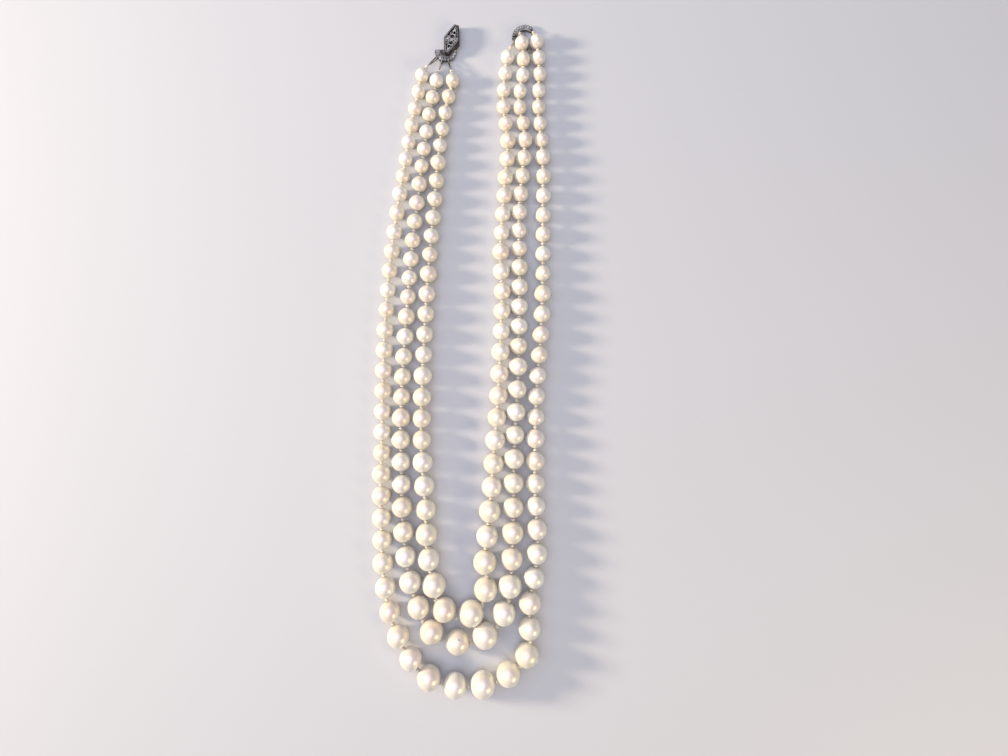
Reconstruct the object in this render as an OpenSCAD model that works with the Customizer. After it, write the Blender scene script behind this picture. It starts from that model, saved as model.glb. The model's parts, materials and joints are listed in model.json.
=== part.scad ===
// A three-strand necklace of graduated pearls, lying open on a flat surface.
// Every pearl touches the surface, so its centre is its own radius above it.
// X runs to the right, Y towards the clasp, Z up. Millimetres.

/* [Pearls] */
// Diameter of the smallest pearls, at both ends of each strand
end_pearl = 5.0; // [4.6:0.1:5.4]
// Diameter of the one largest pearl, in the middle of each strand
centre_pearl = 8.5; // [7.5:0.1:9.5]
// Bore through each pearl
bore_d = 0.9; // [0.8:0.05:1.2]
// Outer strand: how many pearls of each size, from an end to the middle
outer_counts = [7, 7, 7, 4, 3, 2, 2]; // [1:1:9]
// Middle strand: how many pearls of each size, from an end to the middle
middle_counts = [6, 7, 5, 4, 3, 2, 2]; // [1:1:9]
// Inner strand: how many pearls of each size, from an end to the middle
inner_counts = [5, 6, 5, 4, 3, 2, 2]; // [1:1:9]

/* [Silk] */
// Thickness of the silk in the bores
thread_d = 0.5; // [0.3:0.05:0.6]
// Room between two neighbouring pearls, filled by a knot
knot_gap = 1.0; // [0.9:0.05:1.3]
// Thickness of the knots between pearls
knot_d = 1.3; // [1.0:0.05:1.5]
// Thickness of the last knot at each end of a strand
end_knot_d = 1.2; // [1.0:0.05:1.4]
// Clear space left at both sides of a knot
knot_clear = 0.08; // [0.05:0.01:0.12]
// Clear space between the pearls of two strands that lie side by side
strand_clear = 0.12; // [0.1:0.01:0.3]

/* [Wire loops] */
// Thickness of the coiled wire that guards the silk at each end
gimp_d = 0.5; // [0.4:0.02:0.56]
// Clear space between a wire loop and what it passes
loop_clear = 0.08; // [0.05:0.01:0.12]

/* [Clasp box] */
// Length of the lozenge box, tip to tip
box_l = 11.0; // [10:0.1:13]
// Width of the box across its side corners
box_w = 5.8; // [5:0.1:7]
// Width of the cut-off tips
box_tip_w = 1.6; // [1.5:0.1:2]
// Height of the box up to the top of its rim
box_h = 3.0; // [2.6:0.1:4]
// Thickness of the side walls
box_wall = 0.45; // [0.35:0.05:0.6]
// Thickness of the floor of the box
floor_t = 0.4; // [0.3:0.05:0.5]
// Thickness of the pierced top
top_t = 0.4; // [0.3:0.05:0.5]
// How far the rim stands above the pierced top
rim_h = 0.4; // [0.2:0.05:0.6]
// Step between the outline of the box and its rim
rim_step = 0.25; // [0.15:0.05:0.3]
// Width of the rim
rim_w = 0.45; // [0.35:0.05:0.6]
// Width of the scroll bands in the pierced top
band_w = 0.3; // [0.22:0.02:0.36]
// Angle that the box leans to the right of the Y axis
box_lean = 19; // [0:1:30]

/* [End plates] */
// Thickness of both toothed end plates
plate_t = 0.55; // [0.45:0.05:0.7]
// Height of the end plates above the surface
plate_lift = 0.66; // [0.64:0.02:0.7]
// Radius of the row of holes in the plate on the clasp box
fan_r = 2.7; // [2.5:0.1:3]
// Radius of the row of holes in the plate with the hook
bar_r = 3.4; // [3.2:0.1:3.8]
// Room between a wire loop and its hole, all round
hole_clear = 0.2; // [0.15:0.05:0.3]
// Metal left between a hole and the edge of its plate
hole_rim = 0.35; // [0.3:0.05:0.5]
// Diameter of the round teeth along the outer edge of a plate
tooth_d = 0.9; // [0.7:0.1:1.1]
// How far the plate on the clasp box lies beyond the first pearls
fan_reach = 8.3; // [8:0.1:10]
// How far the plate with the hook keeps clear of the last pearls
bar_gap = 0.4; // [0.35:0.05:1]

/* [Hook] */
// Length of the hook from its post to the far end of its bend
hook_l = 9.0; // [7:0.1:9.5]
// Width and thickness of the hook wire
hook_wire = 0.5; // [0.4:0.05:0.55]
// Gap between the two legs of the hook
hook_slit = 0.3; // [0.2:0.05:0.35]
// Length of the short leg
barb_l = 3.0; // [2:0.1:4]
// Play of the hook in the mouth of the box
mouth_clear = 0.15; // [0.1:0.05:0.25]

/* [Hidden] */

OUTER = 0;
MIDDLE = 1;
INNER = 2;
STRANDS = [OUTER, MIDDLE, INNER];

// The way each strand lies, as chosen points from its clasp end to its hook end
ROUTES = [
    [[-24.5, 97.5], [-28, 80], [-32, 55.5], [-35.5, 27.5], [-37, 1.5], [-37.5, -26.5], [-37.5, -55.5],
     [-36, -78.5], [-31.5, -94.5], [-21, -108], [-3, -110], [11, -101.5], [12.5, -84], [15, -68],
     [14.5, -44.5], [15, -15.5], [17, 13], [17.5, 41], [17.5, 68], [16, 87], [16.5, 98.5], [15.5, 109.5]],
    [[-19.5, 95.5], [-22, 83.5], [-24.5, 65.5], [-27.5, 39], [-29.5, 12], [-31, -15.5], [-31, -37],
     [-30, -60.5], [-27.5, -77.5], [-20, -94], [-11, -97], [-2, -94.5], [4, -87.5], [6, -78.5],
     [7, -60.5], [7.5, -36], [9, -4.5], [9.5, 23.5], [9.5, 49], [11.5, 75.5], [9.5, 88], [11, 100],
     [10.5, 109]],
    [[-14, 95.5], [-17.5, 78], [-20, 53], [-22, 27.5], [-23.5, -0.5], [-24, -29.5], [-22.5, -52.5],
     [-21.5, -69], [-16, -86], [-8, -87.5], [-2.5, -81], [-2.5, -71], [-0.5, -50], [1, -30.5],
     [2.5, -8], [3.5, 20.5], [3, 34.5], [4.5, 59], [5.5, 73.5], [4, 88], [5.5, 104]]
];

// Room for the knots beside each run of equal pearls, as shares of knot_gap, end to end
SLACK = [
    [1.1, 1.3, 1.0, 0.9, 1.2, 1.0, 1.1, 1.0, 0.9, 0.9, 1.1, 1.1, 1.1, 1.3, 0.9],
    [1.2, 1.1, 0.9, 1.0, 1.3, 1.4, 1.3, 1.0, 1.3, 1.2, 1.2, 1.3, 0.8, 0.9, 0.8],
    [0.9, 1.0, 1.0, 0.8, 1.0, 0.9, 0.9, 1.0, 1.0, 0.9, 0.9, 1.0, 0.9, 1.0, 1.0]
];

HALF_COUNTS = [outer_counts, middle_counts, inner_counts];

// Directions of the three holes in each end plate, outer strand first
FAN_ANGLES = [212, 247, 282];
BAR_ANGLES = [52, 130, 192];
FAN_TEETH = 11;
BAR_TEETH = 10;
TOOTH_START = 8;
HOOK_ANGLE = 88;
HOOK_LEAN = 12;

// The scrolls of the pierced top, as shares of the window: along, across, radius
SCROLLS = [
    [0.00, 0.00, 0.21], [0.37, 0.05, 0.22], [-0.37, -0.05, 0.22], [0.69, 0.00, 0.15], [-0.69, 0.00, 0.15],
    [0.06, 0.66, 0.15], [-0.06, -0.66, 0.15], [0.30, -0.52, 0.12], [-0.30, 0.52, 0.12]
];

// Rings of a knot between two pearls, and of the last knot at an end, as shares of
// the knot: how far along, how thick
KNOT_SHAPE = [[-0.84, 0.55], [0, 1], [0.84, 0.55]];
END_KNOT_SHAPE = [[-0.9, 0.5], [-0.6, 0.8], [0, 1], [0.6, 0.8], [0.95, 0.35]];

// How far the plates sit to the right of the middle of their end pearls, and the tip of
// the box to the right of its plate
FAN_SIDE = 2.9;
BAR_SIDE = 1.1;
BOX_SIDE = 0.4;

// How far the plate on the box reaches above the middle of its row of holes
FAN_TOP = 0.5;

// How far pieces that are soldered together run into each other
SEAM = 0.1;

CURVE_STEPS = 12;
TRIES = 4;
EASE = 4;
FIRST_SCALE = 1.01;
THREAD_SIDES = 6;
LOOP_SIDES = 6;
LOOP_STEPS = 3;

// Bend of a wire loop where it leaves its hole, and its rise and fall towards the knot
LOOP_TURN = 0.35;
LOOP_RISE = 0.6;
LOOP_FALL = 0.45;

ROUND = 48;
SMALL_ROUND = 32;
EPS = 0.01;

size_step = (centre_pearl - end_pearl) / len(outer_counts);
thread_r = thread_d / 2;
knot_r = knot_d / 2;
end_knot_r = end_knot_d / 2;
gimp_r = gimp_d / 2;
hole_r = gimp_r + hole_clear;
plate_half = hole_r + hole_rim;
plate_top = plate_lift + plate_t;
plate_mid = plate_lift + plate_t / 2;
rim_reach = plate_half + tooth_d / 2;
hook_w = 2 * hook_wire + hook_slit;

// The plate with the hook ends at its two outer holes; its lowest edge lies this far down
bar_span = [BAR_ANGLES[OUTER], BAR_ANGLES[INNER]];
bar_drop = plate_half - bar_r * min([for (angle = bar_span) sin(angle)]);

// The teeth of the clasp plate run from one corner of its straight top edge to the other
fan_corner = asin(FAN_TOP / (fan_r + plate_half));
fan_span = [180 - fan_corner, 360 - fan_corner];
top_z = box_h - rim_h;

// Vectors
function unit(v) = v / norm(v);
function plan(v) = [v.x, v.y];
function raised(v, z) = [v.x, v.y, z];
function polar(r, angle) = r * [cos(angle), sin(angle)];
function mix(a, b, t) = a + (b - a) * t;
function last(v) = v[len(v) - 1];
function reversed(v) = [for (i = [len(v) - 1:-1:0]) v[i]];

// Sums of a list up to each entry, starting at nought
function running(v) = [for (i = 0, s = 0; i <= len(v); s = s + (i < len(v) ? v[i] : 0), i = i + 1) s];

// A smooth curve through points: slopes follow the neighbours, spans are cubic
function chords(p) = [for (i = [0:len(p) - 2]) norm(p[i + 1] - p[i])];
function slope(p, h, i) =
    i == 0 ? 1.5 * (p[1] - p[0]) / h[0] - 0.5 * slope(p, h, 1)
    : i == len(p) - 1 ? 1.5 * (p[i] - p[i - 1]) / h[i - 1] - 0.5 * slope(p, h, i - 1)
    : (p[i + 1] - p[i - 1]) / (h[i] + h[i - 1]);
function span_point(a, ma, b, mb, h, u) =
    (2 * pow(u, 3) - 3 * pow(u, 2) + 1) * a + (pow(u, 3) - 2 * pow(u, 2) + u) * h * ma
    + (3 * pow(u, 2) - 2 * pow(u, 3)) * b + (pow(u, 3) - pow(u, 2)) * h * mb;
function curve(p) =
    let (h = chords(p), m = [for (i = [0:len(p) - 1]) slope(p, h, i)])
    concat([for (i = [0:len(p) - 2]) for (k = [0:CURVE_STEPS - 1])
        span_point(p[i], m[i], p[i + 1], m[i + 1], h[i], k / CURVE_STEPS)], [last(p)]);

// Pearl sizes rise in equal steps to the middle pearl and fall again
function run_counts(s) = concat(HALF_COUNTS[s], [1], reversed(HALF_COUNTS[s]));
function run_size(s, g) = end_pearl + size_step * min(g, len(run_counts(s)) - 1 - g);
function pearl_runs(s) = [for (g = [0:len(run_counts(s)) - 1]) for (k = [1:run_counts(s)[g]]) g];

// The gap after a pearl belongs to the run of the smaller of the two pearls
function gap_after(s, runs, i) =
    knot_gap * SLACK[s][i < floor(len(runs) / 2) ? runs[i] : runs[i + 1]];

// A path as two tables that give x and y for a length along it
function path_tables(p) =
    let (points = curve(p), along = running(chords(points)))
    [for (axis = [0, 1]) [for (i = [0:len(points) - 1]) [along[i], points[i][axis]]]];
function on_path(path, s) = [lookup(s, path[0]), lookup(s, path[1])];
function path_length(path) = last(path[0])[0];

// Lengths along a path at which each pearl lies its full reach from the one before
function stride(path, from, s, reach, tries) =
    tries == 0 ? s
    : stride(path, from, s + reach - norm(on_path(path, s) - from), reach, tries - 1);
function stations(path, reaches) =
    [for (i = 0, s = 0; i <= len(reaches);
          s = i < len(reaches) ? stride(path, on_path(path, s), s + reaches[i], reaches[i], TRIES) : s,
          i = i + 1) s];

// How much larger the route is drawn, from its first point, so that the pearls fill it
function route_scale(path, reaches, k, tries) =
    tries == 0 ? k
    : route_scale(path, reaches, k * last(stations(path, reaches / k)) / path_length(path), tries - 1);

// Pearls of a strand as [x, y, z, radius], each resting on the surface
function strand(s) =
    let (runs = pearl_runs(s),
         r = [for (g = runs) run_size(s, g) / 2],
         reaches = [for (i = [0:len(r) - 2])
             sqrt(pow(r[i] + r[i + 1] + gap_after(s, runs, i), 2) - pow(r[i + 1] - r[i], 2))],
         path = path_tables(ROUTES[s]),
         k = route_scale(path, reaches, FIRST_SCALE * last(running(reaches)) / path_length(path), TRIES),
         at = stations(path, reaches / k),
         start = on_path(path, 0))
    [for (i = [0:len(r) - 1])
        let (p = start + k * (on_path(path, at[i]) - start))
        [p.x, p.y, r[i], r[i]]];

function place_of(pearl) = [pearl[0], pearl[1], pearl[2]];

// How far a pearl comes short of lying clear of the pearls of another strand
function short_of(pearl, others) =
    max([for (q = others) pearl[3] + q[3] + strand_clear - norm(place_of(pearl) - place_of(q))]);

// That amount for pearl i, eased off along the strand so that no kink is made
function eased(amounts, i) =
    max([for (j = [max(0, i - EASE):min(len(amounts) - 1, i + EASE)])
        max(0, amounts[j]) * (1 - abs(i - j) / (EASE + 1))]);

// A strand moved sideways, away from the strand beside it: 1 outwards, -1 inwards
function heading(own, i) =
    unit(plan(place_of(own[min(i + 1, len(own) - 1)])) - plan(place_of(own[max(i - 1, 0)])));
function moved_aside(own, others, side, tries) =
    tries == 0 ? own
    : let (amounts = [for (p = own) short_of(p, others)])
      moved_aside([for (i = [0:len(own) - 1])
          let (way = heading(own, i), far = side * eased(amounts, i))
          [own[i][0] + far * way.y, own[i][1] - far * way.x, own[i][2], own[i][3]]],
          others, side, tries - 1);

centre_strand = strand(MIDDLE);
laid = [moved_aside(strand(OUTER), centre_strand, 1, TRIES), centre_strand,
        moved_aside(strand(INNER), centre_strand, -1, TRIES)];

// Both end plates hang on the mean place of the end pearls
function mean_end(pearls) = (pearls[0] + pearls[1] + pearls[2]) / 3;
fan_at = mean_end([for (s = STRANDS) plan(place_of(laid[s][0]))]) + [FAN_SIDE, end_pearl / 2 + fan_reach];
bar_at = mean_end([for (s = STRANDS) plan(place_of(last(laid[s])))])
    + [BAR_SIDE, end_pearl / 2 + bar_gap + bar_drop];
box_dir = [sin(box_lean), cos(box_lean)];
box_low_tip = fan_at + [BOX_SIDE, plate_half + SEAM - fan_r];
box_at = box_low_tip + box_dir * box_l / 2;

function fan_hole(s) = fan_at + polar(fan_r, FAN_ANGLES[s]);
function bar_hole(s) = bar_at + polar(bar_r, BAR_ANGLES[s]);

// Round teeth along the outer edge of a plate
function tooth_spots(r, span, count) =
    [for (i = [0:count - 1])
        polar(r + plate_half - SEAM, mix(span[0] + TOOTH_START, span[1] - TOOTH_START, i / (count - 1)))];

// Everything is shifted so that the middle of the outline is the origin
plate_tops = [for (p = tooth_spots(bar_r, bar_span, BAR_TEETH)) bar_at.y + p.y + tooth_d / 2];
box_tops = [for (side = [-1, 1]) box_at.y + box_l / 2 * cos(box_lean) + side * box_tip_w / 2 * sin(box_lean)];
all_pearls = [for (s = STRANDS) for (p = laid[s]) p];
low_x = min([for (p = all_pearls) p[0] - p[3]]);
high_x = max([for (p = all_pearls) p[0] + p[3]]);
low_y = min([for (p = all_pearls) p[1] - p[3]]);
high_y = max(concat(plate_tops, box_tops, [for (p = all_pearls) p[1] + p[3]]));
shift = -[(low_x + high_x) / 2, (low_y + high_y) / 2, 0];

// Bores point along the strand; the end bores lean towards their end plate
function bore_dir(s, i) =
    let (p = laid[s], n = len(p), here = place_of(p[i]),
         back = i > 0 ? unit(here - place_of(p[i - 1])) : unit(here - raised(fan_hole(s), here.z)),
         ahead = i < n - 1 ? unit(place_of(p[i + 1]) - here) : unit(raised(bar_hole(s), here.z) - here))
    unit(back + ahead);
function mouth(s, i, side) = place_of(laid[s][i]) + side * laid[s][i][3] * bore_dir(s, i);

// The knot that ends the silk between an end pearl and its wire loop
function end_way(from, hole) = unit(raised(hole, from.z) - from);
function end_knot(from, hole) = from + end_way(from, hole) * (end_knot_r + knot_clear);

// Rings of the silk as [centre, direction, radius]
function end_knot_rings(from, hole, outward) =
    let (way = end_way(from, hole), c = end_knot(from, hole), dir = outward * way,
         shape = outward > 0 ? END_KNOT_SHAPE : reversed(END_KNOT_SHAPE))
    [for (q = shape) [c + way * q[0] * end_knot_r, dir, q[1] * end_knot_r]];

// A knot sits midway between two bores and is as long as both pearls leave it room
function knot_rings(s, i) =
    let (a = place_of(laid[s][i]), b = place_of(laid[s][i + 1]), way = unit(b - a),
         room = (norm(b - a) - laid[s][i][3] - laid[s][i + 1][3]) / 2,
         across = (mouth(s, i, 1) + mouth(s, i + 1, -1)) / 2 - a,
         c = a + across + way * (laid[s][i][3] + room - across * way),
         half = min(room - knot_clear, knot_r))
    [for (q = KNOT_SHAPE) [c + way * q[0] * half, way, q[1] * knot_r]];
function thread_rings(s) =
    let (n = len(laid[s]))
    concat(
        end_knot_rings(mouth(s, 0, -1), fan_hole(s), -1),
        [for (i = [0:n - 1]) each concat(
            [for (side = [-1, 1]) [mouth(s, i, side), bore_dir(s, i), thread_r]],
            i < n - 1 ? knot_rings(s, i) : [])],
        end_knot_rings(mouth(s, n - 1, 1), bar_hole(s), 1));

// A wire loop lies in the upright plane of its hole and its knot. Points are
// [distance from the hole towards the knot, height].
function loop_outline(hole, knot) =
    let (reach = norm(plan(knot) - hole) - end_knot_r - loop_clear - gimp_r,
         over = plate_top + loop_clear + gimp_r,
         under = plate_lift - loop_clear - gimp_r,
         short = plate_half + 2 * loop_clear + gimp_r,
         long_loop = reach > short + gimp_r,
         far = long_loop ? reach : short,
         half_way = (rim_reach + far) / 2)
    concat([[0, plate_lift], [0, plate_top], [LOOP_TURN, over]],
        long_loop
        ? [[half_way, mix(over, knot.z + gimp_r, LOOP_RISE)], [far, knot.z],
           [half_way, mix(under, knot.z - gimp_r, LOOP_FALL)], [min(rim_reach, far - gimp_r), under]]
        : [[far - LOOP_TURN, over], [far, plate_mid], [far - LOOP_TURN, under]],
        [[LOOP_TURN, under]]);
function wrapped(v, i) = v[(i + len(v)) % len(v)];
function closed_curve(p) =
    [for (i = [0:len(p) - 1]) for (k = [0:LOOP_STEPS - 1])
        let (a = wrapped(p, i - 1), b = p[i], c = wrapped(p, i + 1), d = wrapped(p, i + 2),
             h = norm(c - b), mb = (c - a) / (norm(b - a) + h), mc = (d - b) / (norm(d - c) + h))
        span_point(b, mb, c, mc, h, k / LOOP_STEPS)];

// One closed skin round a list of rings, open-ended or joined end to end
module skin(rings, sides, joined) {
    n = len(rings);
    spots = [for (ring = rings)
        let (side = unit(ring[3]), up = cross(side, ring[1]))
        for (k = [0:sides - 1])
            ring[0] + ring[2] * (cos(360 * k / sides) * side + sin(360 * k / sides) * up)];
    wall = [for (i = [0:n - (joined ? 1 : 2)]) for (k = [0:sides - 1])
        let (j = (i + 1) % n, m = (k + 1) % sides,
             a = i * sides + k, b = i * sides + m, c = j * sides + k, d = j * sides + m)
        each [[a, c, d], [a, d, b]]];
    caps = joined ? [] : [[for (k = [0:sides - 1]) k],
        [for (k = [sides - 1:-1:0]) (n - 1) * sides + k]];
    polyhedron(points = spots, faces = concat(wall, caps), convexity = 10);
}

module pearl(r, dir) {
    rotate([0, acos(dir.z), atan2(dir.y, dir.x)])
        difference() {
            sphere(r, $fn = ROUND);
            cylinder(h = 2 * r + 1, d = bore_d, center = true, $fn = SMALL_ROUND);
        }
}

module pearls(s) {
    translate(shift)
        for (i = [0:len(laid[s]) - 1])
            translate(place_of(laid[s][i]))
                pearl(laid[s][i][3], bore_dir(s, i));
}

module silk(s) {
    rings = [for (ring = thread_rings(s)) [ring[0], ring[1], ring[2], cross(ring[1], [0, 0, 1])]];
    translate(shift)
        skin(rings, THREAD_SIDES, false);
}

module wire_loop(hole, knot) {
    way = unit(plan(knot) - hole);
    side = [way.y, -way.x, 0];
    flat = closed_curve(loop_outline(hole, knot));
    spots = [for (q = flat) [hole.x + way.x * q.x, hole.y + way.y * q.x, q.y]];
    rings = [for (i = [0:len(spots) - 1])
        [spots[i], unit(wrapped(spots, i + 1) - wrapped(spots, i - 1)), gimp_r, side]];
    translate(shift)
        skin(rings, LOOP_SIDES, true);
}

module clasp_loop(s) {
    wire_loop(fan_hole(s), end_knot(mouth(s, 0, -1), fan_hole(s)));
}

module hook_loop(s) {
    wire_loop(bar_hole(s), end_knot(mouth(s, len(laid[s]) - 1, 1), bar_hole(s)));
}

// The lozenge outline of the box, drawn in by a margin, its long way along Y
module lozenge(margin) {
    lean = atan2(box_w / 2 - box_tip_w / 2, box_l / 2);
    half_l = box_l / 2 - margin;
    half_w = box_w / 2 - margin / cos(lean);
    tip = half_w - half_l * tan(lean);
    polygon([[tip, half_l], [half_w, 0], [tip, -half_l], [-tip, -half_l], [-half_w, 0], [-tip, half_l]]);
}

module slab(margin, low, high) {
    translate([0, 0, low])
        linear_extrude(high - low)
            lozenge(margin);
}

module band(r, low, high) {
    translate([0, 0, low])
        difference() {
            cylinder(h = high - low, r = r, $fn = SMALL_ROUND);
            translate([0, 0, -1])
                cylinder(h = high - low + 2, r = r - band_w, $fn = SMALL_ROUND);
        }
}

module hook_mouth() {
    width = hook_w + 2 * mouth_clear;
    height = hook_wire + 2 * mouth_clear;
    translate([-width / 2, box_l / 2 - 2 * box_wall, floor_t + mouth_clear])
        cube([width, 3 * box_wall, height]);
}

module box_shell() {
    window = rim_step + rim_w;
    difference() {
        union() {
            slab(0, 0, top_z);
            slab(rim_step, top_z - EPS, box_h);
        }
        slab(box_wall, floor_t, top_z - top_t);
        slab(window, top_z - top_t - 1, box_h + 1);
        hook_mouth();
    }
    intersection() {
        slab(window - EPS, top_z - top_t, top_z);
        for (q = SCROLLS)
            translate([q[1] * (box_w / 2 - window), q[0] * (box_l / 2 - window), 0])
                band(q[2] * (box_l / 2 - window), top_z - top_t, top_z);
    }
}

module plate_teeth(r, span, count) {
    for (p = tooth_spots(r, span, count))
        translate(p)
            circle(d = tooth_d, $fn = SMALL_ROUND);
}

module fan_outline() {
    outer = fan_r + plate_half;
    intersection() {
        circle(outer, $fn = ROUND);
        translate([-outer - 1, -outer - 1])
            square([2 * outer + 2, outer + 1 + FAN_TOP]);
    }
    plate_teeth(fan_r, fan_span, FAN_TEETH);
}

module clasp_box() {
    color("dimgray")
        translate(shift) {
            translate(raised(box_at, 0))
                rotate(-box_lean)
                    box_shell();
            translate(raised(fan_at, plate_lift))
                difference() {
                    linear_extrude(plate_t)
                        fan_outline();
                    for (s = STRANDS)
                        translate(raised(polar(fan_r, FAN_ANGLES[s]), -1))
                            cylinder(h = plate_t + 2, r = hole_r, $fn = SMALL_ROUND);
                    translate(raised(box_at - fan_at, -plate_lift))
                        rotate(-box_lean)
                            slab(box_wall / 2, -1, box_h + 1);
                }
        }
}

module bar_outline() {
    difference() {
        union() {
            intersection() {
                difference() {
                    circle(bar_r + plate_half, $fn = ROUND);
                    circle(bar_r - plate_half, $fn = ROUND);
                }
                polygon(concat([[0, 0]], [for (i = [0:6])
                    polar(3 * bar_r, mix(bar_span[0], bar_span[1], i / 6))]));
            }
            for (end = bar_span)
                translate(polar(bar_r, end))
                    circle(plate_half, $fn = SMALL_ROUND);
            plate_teeth(bar_r, bar_span, BAR_TEETH);
        }
        for (angle = BAR_ANGLES)
            translate(polar(bar_r, angle))
                circle(hole_r, $fn = SMALL_ROUND);
    }
}

module hook_outline() {
    bend = hook_w / 2;
    straight = hook_l - bend;
    translate([0, -straight])
        square([hook_wire, straight]);
    translate([hook_wire + hook_slit, -straight])
        square([hook_wire, barb_l]);
    translate([bend, -straight])
        difference() {
            circle(bend, $fn = SMALL_ROUND);
            circle(bend - hook_wire, $fn = SMALL_ROUND);
            translate([-bend - 1, 0])
                square([2 * bend + 2, bend + 1]);
        }
}

module hook_bar() {
    foot = polar(bar_r, HOOK_ANGLE);
    color("gray")
        translate(shift + raised(bar_at, 0)) {
            translate([0, 0, plate_lift])
                linear_extrude(plate_t)
                    bar_outline();
            translate(raised(foot, EPS))
                cylinder(h = plate_mid, r = hook_w / 2, $fn = SMALL_ROUND);
            translate(raised(foot, EPS))
                rotate(HOOK_LEAN)
                    translate([-hook_w / 2, 0, 0])
                        linear_extrude(hook_wire)
                            hook_outline();
        }
}

module outer_pearls() {
    color("ivory") pearls(OUTER);
}

module middle_pearls() {
    color("ivory") pearls(MIDDLE);
}

module inner_pearls() {
    color("ivory") pearls(INNER);
}

module outer_thread() {
    color("wheat") silk(OUTER);
}

module middle_thread() {
    color("wheat") silk(MIDDLE);
}

module inner_thread() {
    color("wheat") silk(INNER);
}

module outer_clasp_loop() {
    color("silver") clasp_loop(OUTER);
}

module middle_clasp_loop() {
    color("silver") clasp_loop(MIDDLE);
}

module inner_clasp_loop() {
    color("silver") clasp_loop(INNER);
}

module outer_hook_loop() {
    color("silver") hook_loop(OUTER);
}

module middle_hook_loop() {
    color("silver") hook_loop(MIDDLE);
}

module inner_hook_loop() {
    color("silver") hook_loop(INNER);
}

clasp_box();
hook_bar();
outer_pearls();
middle_pearls();
inner_pearls();
outer_thread();
middle_thread();
inner_thread();
outer_clasp_loop();
middle_clasp_loop();
inner_clasp_loop();
outer_hook_loop();
middle_hook_loop();
inner_hook_loop();
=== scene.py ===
import json
import math
import random

import bmesh
import bpy
import numpy as np
from mathutils import Matrix, Vector


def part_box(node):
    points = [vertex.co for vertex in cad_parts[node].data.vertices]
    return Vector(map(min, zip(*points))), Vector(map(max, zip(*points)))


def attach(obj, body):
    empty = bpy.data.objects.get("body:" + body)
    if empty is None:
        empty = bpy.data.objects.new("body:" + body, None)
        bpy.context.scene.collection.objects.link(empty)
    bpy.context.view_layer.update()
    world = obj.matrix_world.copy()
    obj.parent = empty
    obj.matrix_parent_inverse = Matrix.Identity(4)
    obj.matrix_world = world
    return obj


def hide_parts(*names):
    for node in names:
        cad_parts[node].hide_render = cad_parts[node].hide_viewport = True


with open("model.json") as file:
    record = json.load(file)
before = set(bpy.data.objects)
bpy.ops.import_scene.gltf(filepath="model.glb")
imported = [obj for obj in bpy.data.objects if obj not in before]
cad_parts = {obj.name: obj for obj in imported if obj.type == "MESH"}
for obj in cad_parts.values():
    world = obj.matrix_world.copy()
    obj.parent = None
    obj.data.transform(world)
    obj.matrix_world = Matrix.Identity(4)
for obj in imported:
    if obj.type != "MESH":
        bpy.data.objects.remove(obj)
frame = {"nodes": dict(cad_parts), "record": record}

for name in ("Cube", "Light", "Camera"):                 # what a new file holds isn't part of the frame
    if name in bpy.data.objects:
        bpy.data.objects.remove(bpy.data.objects[name])
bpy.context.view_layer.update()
mm = 0.001
weldReach = 0.0005 * mm
upward = Vector((0, 0, 1))
print("frame loaded:", len(frame["nodes"]), "nodes")


# Node trees: a wire is one output of a node, and arithmetic on it adds Math nodes
class Wire:
    def __init__(self, maker, node, output=0):
        self.maker = maker
        self.node = node
        self.socket = node.outputs[output]

    def output(self, name):
        return Wire(self.maker, self.node, name)

    def worked(self, operation, *values):
        sockets = dict(enumerate(values))
        return self.maker.add("ShaderNodeMath", {"operation": operation}, sockets)

    def __add__(self, other):
        return self.worked("ADD", self, other)

    def __radd__(self, other):
        return self.worked("ADD", other, self)

    def __sub__(self, other):
        return self.worked("SUBTRACT", self, other)

    def __rsub__(self, other):
        return self.worked("SUBTRACT", other, self)

    def __mul__(self, other):
        return self.worked("MULTIPLY", self, other)

    def __rmul__(self, other):
        return self.worked("MULTIPLY", other, self)

    def __truediv__(self, other):
        return self.worked("DIVIDE", self, other)

    def __rtruediv__(self, other):
        return self.worked("DIVIDE", other, self)

    def __gt__(self, other):
        return self.worked("GREATER_THAN", self, other)

    def sine(self):
        return self.worked("SINE", self)

    def cosine(self):
        return self.worked("COSINE", self)

    def size(self):
        return self.worked("ABSOLUTE", self)


class NodeMaker:
    def __init__(self, tree):
        self.tree = tree

    def add(self, kind, settings=None, sockets=None, output=0):
        node = self.tree.nodes.new(kind)
        for name, value in (settings or {}).items():
            if name == "stops":
                self.setStops(node.color_ramp, value)
            else:
                setattr(node, name, value)
        for key, value in (sockets or {}).items():
            if isinstance(value, Wire):
                self.tree.links.new(value.socket, node.inputs[key])
            else:
                node.inputs[key].default_value = value
        return Wire(self, node, output)

    # stops are (place, colour) pairs; the ramp starts with two elements
    def setStops(self, ramp, stops):
        while len(ramp.elements) < len(stops):
            ramp.elements.new(0.5)
        for element, (place, colour) in zip(ramp.elements, stops):
            element.position = place
            element.color = (*colour, 1)

    def ease(self, value, low, high):
        return self.add("ShaderNodeMapRange", {"interpolation_type": "SMOOTHSTEP"},
                        {"Value": value, "From Min": low, "From Max": high})

    def blend(self, factor, first, second):
        return self.add("ShaderNodeMix", {"data_type": "RGBA"}, {0: factor, 6: first, 7: second}, 2)

    def joined(self, x, y, z):
        return self.add("ShaderNodeCombineXYZ", {}, {0: x, 1: y, 2: z})


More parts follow.
